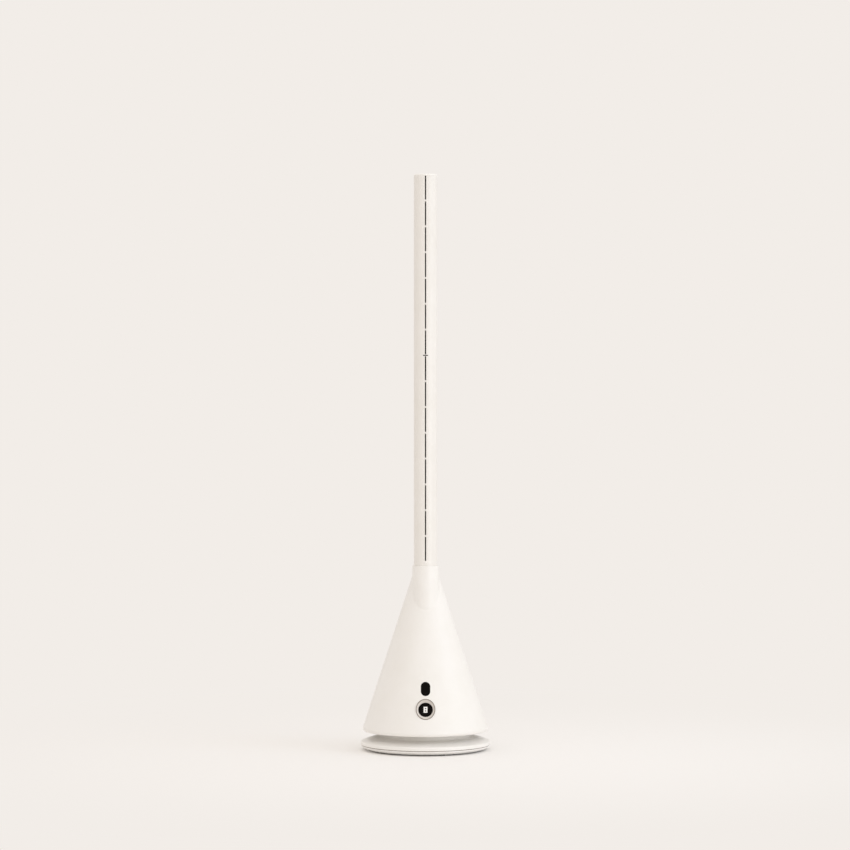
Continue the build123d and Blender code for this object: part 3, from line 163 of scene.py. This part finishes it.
# ------------------------------------------------------------------ seal in the foot's shadow line
# Soft strip that closes the joint between base plate and cover and shows as a fine grey line around
# the foot; its taupe grey is partly painted shade, for the shade in the joint. Extruded
# thermoplastic rubber, laid in the step and butted on each side of the socket.
seal_radius = 109.7 * MM
seal_bottom = 8.42 * MM
seal_top = 9.58 * MM
seal_depth = 0.75 * MM
socket_half_width = 6.5 * MM
bpy.ops.object.select_all(action="DESELECT")
bpy.ops.mesh.primitive_cylinder_add(
    vertices=240, radius=seal_radius, depth=seal_top - seal_bottom,
    end_fill_type="NOTHING", location=(0, 0, (seal_bottom + seal_top) / 2),
)
seam_seal = bpy.context.object
seam_seal.name = "seam_seal"
bpy.ops.object.transform_apply(location=True, rotation=True, scale=True)
bpy.ops.object.mode_set(mode="EDIT")
bpy.ops.mesh.select_mode(type="FACE")
bpy.ops.mesh.select_all(action="DESELECT")
bpy.ops.object.mode_set(mode="OBJECT")
for face in seam_seal.data.polygons:
    face.select = face.center.y > 0 and abs(face.center.x) < socket_half_width
bpy.ops.object.mode_set(mode="EDIT")
bpy.ops.mesh.delete(type="FACE")
bpy.ops.object.mode_set(mode="OBJECT")
wall = seam_seal.modifiers.new("wall", "SOLIDIFY")
wall.thickness = seal_depth
wall.offset = -1
bpy.ops.object.modifier_apply(modifier="wall")
edges = seam_seal.modifiers.new("edges", "BEVEL")
edges.width = 0.2 * MM
edges.segments = 2
bpy.ops.object.modifier_apply(modifier="edges")
bpy.ops.object.shade_smooth_by_angle(angle=math.radians(50))
# Taupe grey that also paints the shade in the joint between base plate and cover.
seal_rubber_and_joint_shade = moulded(
    "rubber_thermoplastic_taupe_and_painted_joint_shade", "9A9188", "928980", 0.7, 0.5 * MM, 0.02 * MM, 1.5
)
seam_seal.data.materials.append(seal_rubber_and_joint_shade)
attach(seam_seal, "foot")

# ------------------------------------------------------------------ bearing, slide ring and gears
# The bush, the ring on the neck and the gear pair are acetal, which runs dry on itself: natural
# milky white with a waxy, smooth surface.
acetal = moulded("acetal_natural", "EFEFEA", "E6E6E0", 0.32, 1.0 * MM, 0.01 * MM, 1.48)
dress(acetal, "pivot_bush", "slide_ring", "drive_pinion", "ring_gear")

# ------------------------------------------------------------------ power inlet
# Round socket half in the base plate and half in the cover: black nylon with a pin in its middle,
# on which a nickel-plated tube slides as contact. The socket and the press switch get the black
# nylon; no plated finish is given to the tube.
nylon = moulded("nylon_black", "232325", "1C1C1E", 0.48, 0.5 * MM, 0.02 * MM, 1.53)
dress(nylon, "power_inlet", "press_switch")

# ------------------------------------------------------------------ turntable and head floor
# Turntable, head floor, blower casing, diffuser and duct are moulded in glass-filled polypropylene,
# light grey and slightly streaky from the fibres.
filled_pp = moulded(
    "polypropylene_glass_filled", "F0EEEA", "E8E6E2", 0.55, 0.9 * MM, 0.05 * MM, 1.49
)
dress(filled_pp, "turntable", "head_floor", "blower_casing", "diffuser", "air_duct")

# ------------------------------------------------------------------ cone with its collar
# One moulding in white ABS that runs up into the collar around the column; satin from the fine
# grain of its tool.
dress(shell_abs, "cone_shell")

# ------------------------------------------------------------------ rear grille and filter
# The grille is let into the back of the cone and holds the filter behind it: same ABS for the
# grille, pleated off-white polypropylene fleece for the filter. The pleats' light and shade are
# painted: the filter's colour runs in bands, grey where the folds' bump is low, off-white on top.
dress(shell_abs, "intake_grille")
fleece = moulded("polypropylene_fleece_painted_pleat_shade", "DEDDD8", "CFCEC8", 0.95, 0.5 * MM, 0.3 * MM, 1.49)
pleat_pitch = 4.5 * MM
filter_radius = 84 * MM
fleece_shader = fleece.node_tree.nodes["Principled BSDF"]
fleece_place = add_node(fleece, "ShaderNodeTexCoord")
fleece_axes = add_node(fleece, "ShaderNodeSeparateXYZ", [("Vector", fleece_place, "Object")])
around = add_node(fleece, "ShaderNodeMath", operation="ARCTAN2")
fleece.node_tree.links.new(fleece_axes.outputs["X"], around.inputs[0])
fleece.node_tree.links.new(fleece_axes.outputs["Y"], around.inputs[1])
turns = add_node(fleece, "ShaderNodeMath", operation="MULTIPLY")
fleece.node_tree.links.new(around.outputs["Value"], turns.inputs[0])
turns.inputs[1].default_value = round(2 * math.pi * filter_radius / pleat_pitch)
wave = add_node(fleece, "ShaderNodeMath", operation="SINE")
fleece.node_tree.links.new(turns.outputs["Value"], wave.inputs[0])
fold = add_node(
    fleece, "ShaderNodeMapRange", [("Value", wave, "Value")], From_Min=-1.0, From_Max=1.0
)
# Painted shade of the pleats: grey in the hollows of the folds, off-white on their crests.
pleat_painted_shade = add_node(fleece, "ShaderNodeValToRGB", [("Fac", fold, "Result")])
pleat_painted_shade.color_ramp.elements[0].color = srgb("8F8E8A")
pleat_painted_shade.color_ramp.elements[1].color = srgb("E2E1DC")
fold_relief = add_node(
    fleece, "ShaderNodeBump", [("Height", fold, "Result")], Strength=0.8, Distance=2.0 * MM
)
fleece.node_tree.links.new(pleat_painted_shade.outputs["Color"], fleece_shader.inputs["Base Color"])
fleece.node_tree.links.new(fold_relief.outputs["Normal"], fleece_shader.inputs["Normal"])
dress(fleece, "air_filter")

# ------------------------------------------------------------------ blower
# Mixed-flow impeller in dark glass-filled nylon, on a ground shaft, in its casing; the seals are
# soft black rubber.
wheel_nylon = moulded("nylon_dark_grey", "3B3D40", "333538", 0.45, 0.8 * MM, 0.03 * MM, 1.53)
dress(wheel_nylon, "impeller")
dress(pad_rubber, "casing_seal", "duct_seal")

# ------------------------------------------------------------------ column
# Two sections of round aluminium tube with milled slots, powder coated in satin white; the coat
# has the faint orange peel of polyester powder.
powder_coat = moulded("powder_coat_satin_white", "F3EFEA", "F0ECE6", 0.36, 1.6 * MM, 0.03 * MM, 1.5)
dress(powder_coat, "column_lower", "column_upper")

# ------------------------------------------------------------------ sleeve, nozzle and cap
# The nozzle behind the slots and the joint's sleeve are matt dark ABS; the cap is white ABS. The
# nozzle's near-black is also painted shade: it stands in for the shade inside the slots, so that
# they read as dark lines.
# Near-black of the sleeve and of the nozzle, which also paints the shade inside the slots.
dark_abs_and_painted_slot_shade = moulded("abs_dark_matt_and_painted_slot_shade", "1C1613", "17120F", 0.7, 0.6 * MM, 0.03 * MM, 1.53)
dress(dark_abs_and_painted_slot_shade, "column_sleeve", "nozzle_lower", "nozzle_upper")
dress(shell_abs, "top_cap")

# ------------------------------------------------------------------ controls
# Dished bezel in warm grey paint with a satin metal rim, a gloss black button with a lit digit, and
# a gloss black window for the remote control's receiver above it. The bezel's grey is partly
# painted shade: it is darker than the shell to stand in for the shade in its dish.
control_level = 78.2 * MM
skirt_radius = 109.5 * MM
skirt_bottom = 32.4 * MM
cone_top_radius = 16.7 * MM
cone_top = 317 * MM
cone_slope = (skirt_radius - cone_top_radius) / (cone_top - skirt_bottom)
cone_face = skirt_radius - (control_level - skirt_bottom) * cone_slope
control_tilt = math.atan(cone_slope)

# Warm satin grey, darkened to paint the shade in the bezel's dish.
satin_paint_and_dish_shade = moulded("paint_satin_warm_grey_and_painted_dish_shade", "E4DDD6", "DFD8D0", 0.4, 0.8 * MM, 0.01 * MM, 1.5)
dress(satin_paint_and_dish_shade, "display_bezel")
gloss_black = moulded(
    "polycarbonate_gloss_black", "0D0907", "0A0705", 0.16, 4 * MM, 0.002 * MM, 1.58
)
gloss_black.node_tree.nodes["Principled BSDF"].inputs["Specular IOR Level"].default_value = 0.06
dress(gloss_black, "control_button", "sensor_lens")


def settle(piece, location, rotation):
    """Turns and moves a piece that was modelled at the origin, and puts its place in its mesh."""
    bpy.ops.object.select_all(action="DESELECT")
    piece.select_set(True)
    bpy.context.view_layer.objects.active = piece
    piece.location = location
    piece.rotation_euler = rotation
    bpy.ops.object.transform_apply(location=True, rotation=True, scale=True)


def on_control(depth, right=0.0, up=0.0):
    """Point on the control, given its depth under the cone's surface, to the right and up it."""
    return (
        right,
        -cone_face + depth * math.cos(control_tilt) + up * math.sin(control_tilt),
        control_level - depth * math.sin(control_tilt) + up * math.cos(control_tilt),
    )


control_turn = (math.pi / 2 - control_tilt, 0, 0)

# Pressed ring of satin stainless steel on the bezel's lip: the fine grey line around the dish,
# a little taller than wide. Its darkish grey is partly painted shade, for the shade at the lip's
# edge.
trim_outer = 16.4 * MM
trim_inner = 15.2 * MM
outer_stretch = 1.1
inner_stretch = 1.08
trim_height = 0.5 * MM
bpy.ops.object.select_all(action="DESELECT")
bpy.ops.mesh.primitive_circle_add(vertices=128, radius=trim_outer, fill_type="NOTHING")
trim = bpy.context.object
trim.name = "bezel_trim"
bpy.ops.object.mode_set(mode="EDIT")
bpy.ops.mesh.select_all(action="SELECT")
bpy.ops.transform.resize(value=(1, outer_stretch, 1))
bpy.ops.mesh.extrude_edges_move()
shrink = trim_inner / trim_outer
bpy.ops.transform.resize(value=(shrink, shrink * inner_stretch / outer_stretch, 1))
bpy.ops.mesh.select_all(action="SELECT")
bpy.ops.mesh.normals_make_consistent(inside=False)
bpy.ops.object.mode_set(mode="OBJECT")
solid = trim.modifiers.new("height", "SOLIDIFY")
solid.thickness = trim_height
solid.offset = 0
bpy.ops.object.modifier_apply(modifier="height")
round_edges = trim.modifiers.new("edges", "BEVEL")
round_edges.width = 0.2 * MM
round_edges.segments = 2
bpy.ops.object.modifier_apply(modifier="edges")
bpy.ops.object.shade_smooth_by_angle(angle=math.radians(40))
settle(trim, on_control(0.1 * MM), control_turn)
# Darkish steel grey that also paints the shade at the edge of the bezel's lip.
trim_steel_and_lip_shade = plated("stainless_steel_satin_and_painted_lip_shade", "A39B92", 0.38, 0.5 * MM)
trim.data.materials.append(trim_steel_and_lip_shade)
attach(trim, "head")

# Lit numeral behind the button's window: seven light bars of a small display, all of them on.
digit_width = 6.5 * MM
digit_height = 10.2 * MM
bar_width = 2.2 * MM
bar_height = 0.06 * MM
bar_gap = 0.1 * MM
corner_round = 0.3 * MM
face_depth = 2.9 * MM
side_offset = (digit_width - bar_width) / 2
row_offset = (digit_height - bar_width) / 2
bar_places = [
    (0, row_offset, True), (0, 0, True), (0, -row_offset, True),
    (-side_offset, row_offset / 2, False), (side_offset, row_offset / 2, False),
    (-side_offset, -row_offset / 2, False), (side_offset, -row_offset / 2, False),
]
lit = bpy.data.materials.new("light_guide_lit")
lit.use_nodes = True
lit_shader = lit.node_tree.nodes["Principled BSDF"]
lit_shader.inputs["Base Color"].default_value = srgb("E8E6E2")
lit_shader.inputs["Roughness"].default_value = 0.5
lit_shader.inputs["Emission Strength"].default_value = 0.15
lit_place = add_node(lit, "ShaderNodeTexCoord")
lit_cloud = add_node(
    lit, "ShaderNodeTexNoise", [("Vector", lit_place, "Object")], Scale=1 / (2 * MM), Detail=2.0
)
lit_shade = add_node(lit, "ShaderNodeValToRGB", [("Fac", lit_cloud, "Fac")])
lit_shade.color_ramp.elements[0].color = srgb("DAD8D4")
lit_shade.color_ramp.elements[1].color = srgb("FFFDF8")
lit.node_tree.links.new(lit_shade.outputs["Color"], lit_shader.inputs["Emission Color"])
for number, (right, up, across) in enumerate(bar_places):
    span = digit_width / 2 if across else (row_offset - bar_width) / 2 - bar_gap
    bpy.ops.object.select_all(action="DESELECT")
    bpy.ops.mesh.primitive_plane_add(size=bar_width)
    bar = bpy.context.object
    bar.name = f"digit_bar_{number}"
    for sign in (1, -1):
        bpy.ops.object.mode_set(mode="EDIT")
        bpy.ops.mesh.select_mode(type="VERT")
        bpy.ops.mesh.select_all(action="DESELECT")
        bpy.ops.object.mode_set(mode="OBJECT")
        for point in bar.data.vertices:
            point.select = sign * point.co.y > 0
        bpy.ops.object.mode_set(mode="EDIT")
        bpy.ops.transform.translate(value=(0, sign * (span - bar_width / 2), 0))
    bpy.ops.mesh.select_all(action="SELECT")
    bpy.ops.mesh.bevel(offset=corner_round, segments=2, affect="VERTICES")
    bpy.ops.mesh.select_all(action="SELECT")
    bpy.ops.mesh.extrude_region_move(TRANSFORM_OT_translate={"value": (0, 0, bar_height)})
    bpy.ops.mesh.select_all(action="SELECT")
    bpy.ops.mesh.normals_make_consistent(inside=False)
    bpy.ops.object.mode_set(mode="OBJECT")
    settle(bar, (0, 0, 0), (0, 0, math.pi / 2 if across else 0))
    settle(bar, on_control(face_depth, right, up), control_turn)
    bar.data.materials.append(lit)
    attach(bar, "button")

# ------------------------------------------------------------------ circuit boards
# Glass-epoxy boards under a green solder mask; the parts soldered onto the main board, which stand
# above its mask, are cased in black epoxy.
solder_mask = moulded("solder_mask_green", "1E6B3A", "1A6034", 0.35, 1.2 * MM, 0.03 * MM, 1.55)
dress(solder_mask, "control_board")

main_board_top = 49.6 * MM
fitted_board = moulded(
    "solder_mask_with_epoxy_parts", "1E6B3A", "1A6034", 0.35, 1.2 * MM, 0.03 * MM, 1.55
)
board_place = add_node(fitted_board, "ShaderNodeTexCoord")
board_height = add_node(fitted_board, "ShaderNodeSeparateXYZ", [("Vector", board_place, "Object")])
above = add_node(fitted_board, "ShaderNodeMath", [(0, board_height, "Z")], operation="GREATER_THAN")
above.inputs[1].default_value = main_board_top + 0.1 * MM
mask_shade = fitted_board.node_tree.nodes["Color Ramp"]
part_color = add_node(
    fitted_board, "ShaderNodeMixRGB", [("Fac", above, "Value"), ("Color1", mask_shade, "Color")],
    Color2=srgb("26262A"),
)
board_shader = fitted_board.node_tree.nodes["Principled BSDF"]
fitted_board.node_tree.links.new(part_color.outputs["Color"], board_shader.inputs["Base Color"])
dress(fitted_board, "main_board")

# ------------------------------------------------------------------ floor and light
# Seamless paper floor that fades into the backdrop's colour with distance, the pale room around it
# and three soft lamps: a cool key from the right, a low fill and one overhead.
backdrop_color = srgb("F2EDE8")
floor_radius = 40
fade_start = 0.15
fade_end = 1.1

bpy.ops.object.select_all(action="DESELECT")
bpy.ops.mesh.primitive_circle_add(vertices=96, radius=floor_radius, fill_type="NGON")
floor = bpy.context.object
floor.name = "floor"
paper = bpy.data.materials.new("paper_matt")
paper.use_nodes = True
paper_shader = paper.node_tree.nodes["Principled BSDF"]
paper_shader.inputs["Base Color"].default_value = srgb("FAF8F6")
paper_shader.inputs["Roughness"].default_value = 0.9
paper_shader.inputs["IOR"].default_value = 1.3
place = add_node(paper, "ShaderNodeTexCoord")
reach = add_node(paper, "ShaderNodeVectorMath", operation="LENGTH")
paper.node_tree.links.new(place.outputs["Object"], reach.inputs[0])
fade = add_node(
    paper, "ShaderNodeMapRange", [("Value", reach, "Value")],
    interpolation_type="SMOOTHSTEP", From_Min=fade_start, From_Max=fade_end,
)
ray = add_node(paper, "ShaderNodeLightPath")
seen = add_node(paper, "ShaderNodeMath", operation="MAXIMUM")
paper.node_tree.links.new(ray.outputs["Is Camera Ray"], seen.inputs[0])
paper.node_tree.links.new(ray.outputs["Is Glossy Ray"], seen.inputs[1])
share = add_node(paper, "ShaderNodeMath", operation="MULTIPLY")
paper.node_tree.links.new(seen.outputs["Value"], share.inputs[0])
paper.node_tree.links.new(fade.outputs["Result"], share.inputs[1])
glow = add_node(paper, "ShaderNodeEmission", Color=backdrop_color, Strength=1.0)
blend = add_node(paper, "ShaderNodeMixShader", [("Fac", share, "Value")])
paper.node_tree.links.new(paper_shader.outputs["BSDF"], blend.inputs[1])
paper.node_tree.links.new(glow.outputs["Emission"], blend.inputs[2])
paper.node_tree.links.new(
    blend.outputs["Shader"], paper.node_tree.nodes["Material Output"].inputs["Surface"]
)
floor.data.materials.append(paper)

world = bpy.data.worlds.new("studio")
bpy.context.scene.world = world
world.use_nodes = True
room = world.node_tree.nodes["Background"]
room.inputs["Color"].default_value = srgb("FFFAF5")
room.inputs["Strength"].default_value = 0.76
backdrop = add_node(world, "ShaderNodeBackground", Color=backdrop_color, Strength=1.0)
world_ray = add_node(world, "ShaderNodeLightPath")
world_seen = add_node(world, "ShaderNodeMath", operation="MAXIMUM")
world.node_tree.links.new(world_ray.outputs["Is Camera Ray"], world_seen.inputs[0])
world.node_tree.links.new(world_ray.outputs["Is Transmission Ray"], world_seen.inputs[1])
choice = add_node(world, "ShaderNodeMixShader", [("Fac", world_seen, "Value")])
world.node_tree.links.new(room.outputs["Background"], choice.inputs[1])
world.node_tree.links.new(backdrop.outputs["Background"], choice.inputs[2])
world.node_tree.links.new(
    choice.outputs["Shader"], world.node_tree.nodes["World Output"].inputs["Surface"]
)


def area_lamp(name, size, watts, color, place, target):
    """Square soft lamp at a place, aimed at a point."""
    light = bpy.data.lights.new(name, "AREA")
    light.size = size
    light.energy = watts
    light.color = color
    lamp = bpy.data.objects.new(name, light)
    bpy.context.scene.collection.objects.link(lamp)
    lamp.location = place
    aim = Vector(target) - lamp.location
    lamp.rotation_euler = aim.to_track_quat("-Z", "Y").to_euler()


area_lamp("key", 2.0, 14, (0.62, 0.80, 1.0), (3.0, -1.2, 1.8), (0, 0, 0.4))
# Low enough to reach under the cone's skirt onto the foot.
area_lamp("fill", 1.2, 21, (0.94, 0.97, 1.0), (2.2, -2.2, 0.12), (0, 0, 0.1))
# Wide, straight above; it keeps the paper floor as pale as the backdrop.
area_lamp("overhead", 3.0, 21, (1.0, 0.98, 0.96), (0, -0.4, 3.0), (0, -0.4, 0))

# ------------------------------------------------------------------ camera
# Level, straight in front of the fan and far away, as the slight perspective of the foot shows. It
# stands a trifle to the left, which sets the fan half a pixel to the right.
eye_distance = 4.813
eye_height = 0.5575
eye_shift = -0.9 * MM
sensor_width = 36.0
picture_width = 850 * 1.719 * MM
camera_data = bpy.data.cameras.new("camera")
camera_data.sensor_width = sensor_width
camera_data.lens = sensor_width * eye_distance / picture_width
camera_data.clip_end = 100
camera = bpy.data.objects.new("camera", camera_data)
bpy.context.scene.collection.objects.link(camera)
camera.location = (eye_shift, -eye_distance, eye_height)
camera.rotation_euler = (math.radians(90), 0, 0)
bpy.context.scene.camera = camera
bpy.context.scene.view_settings.view_transform = "Standard"
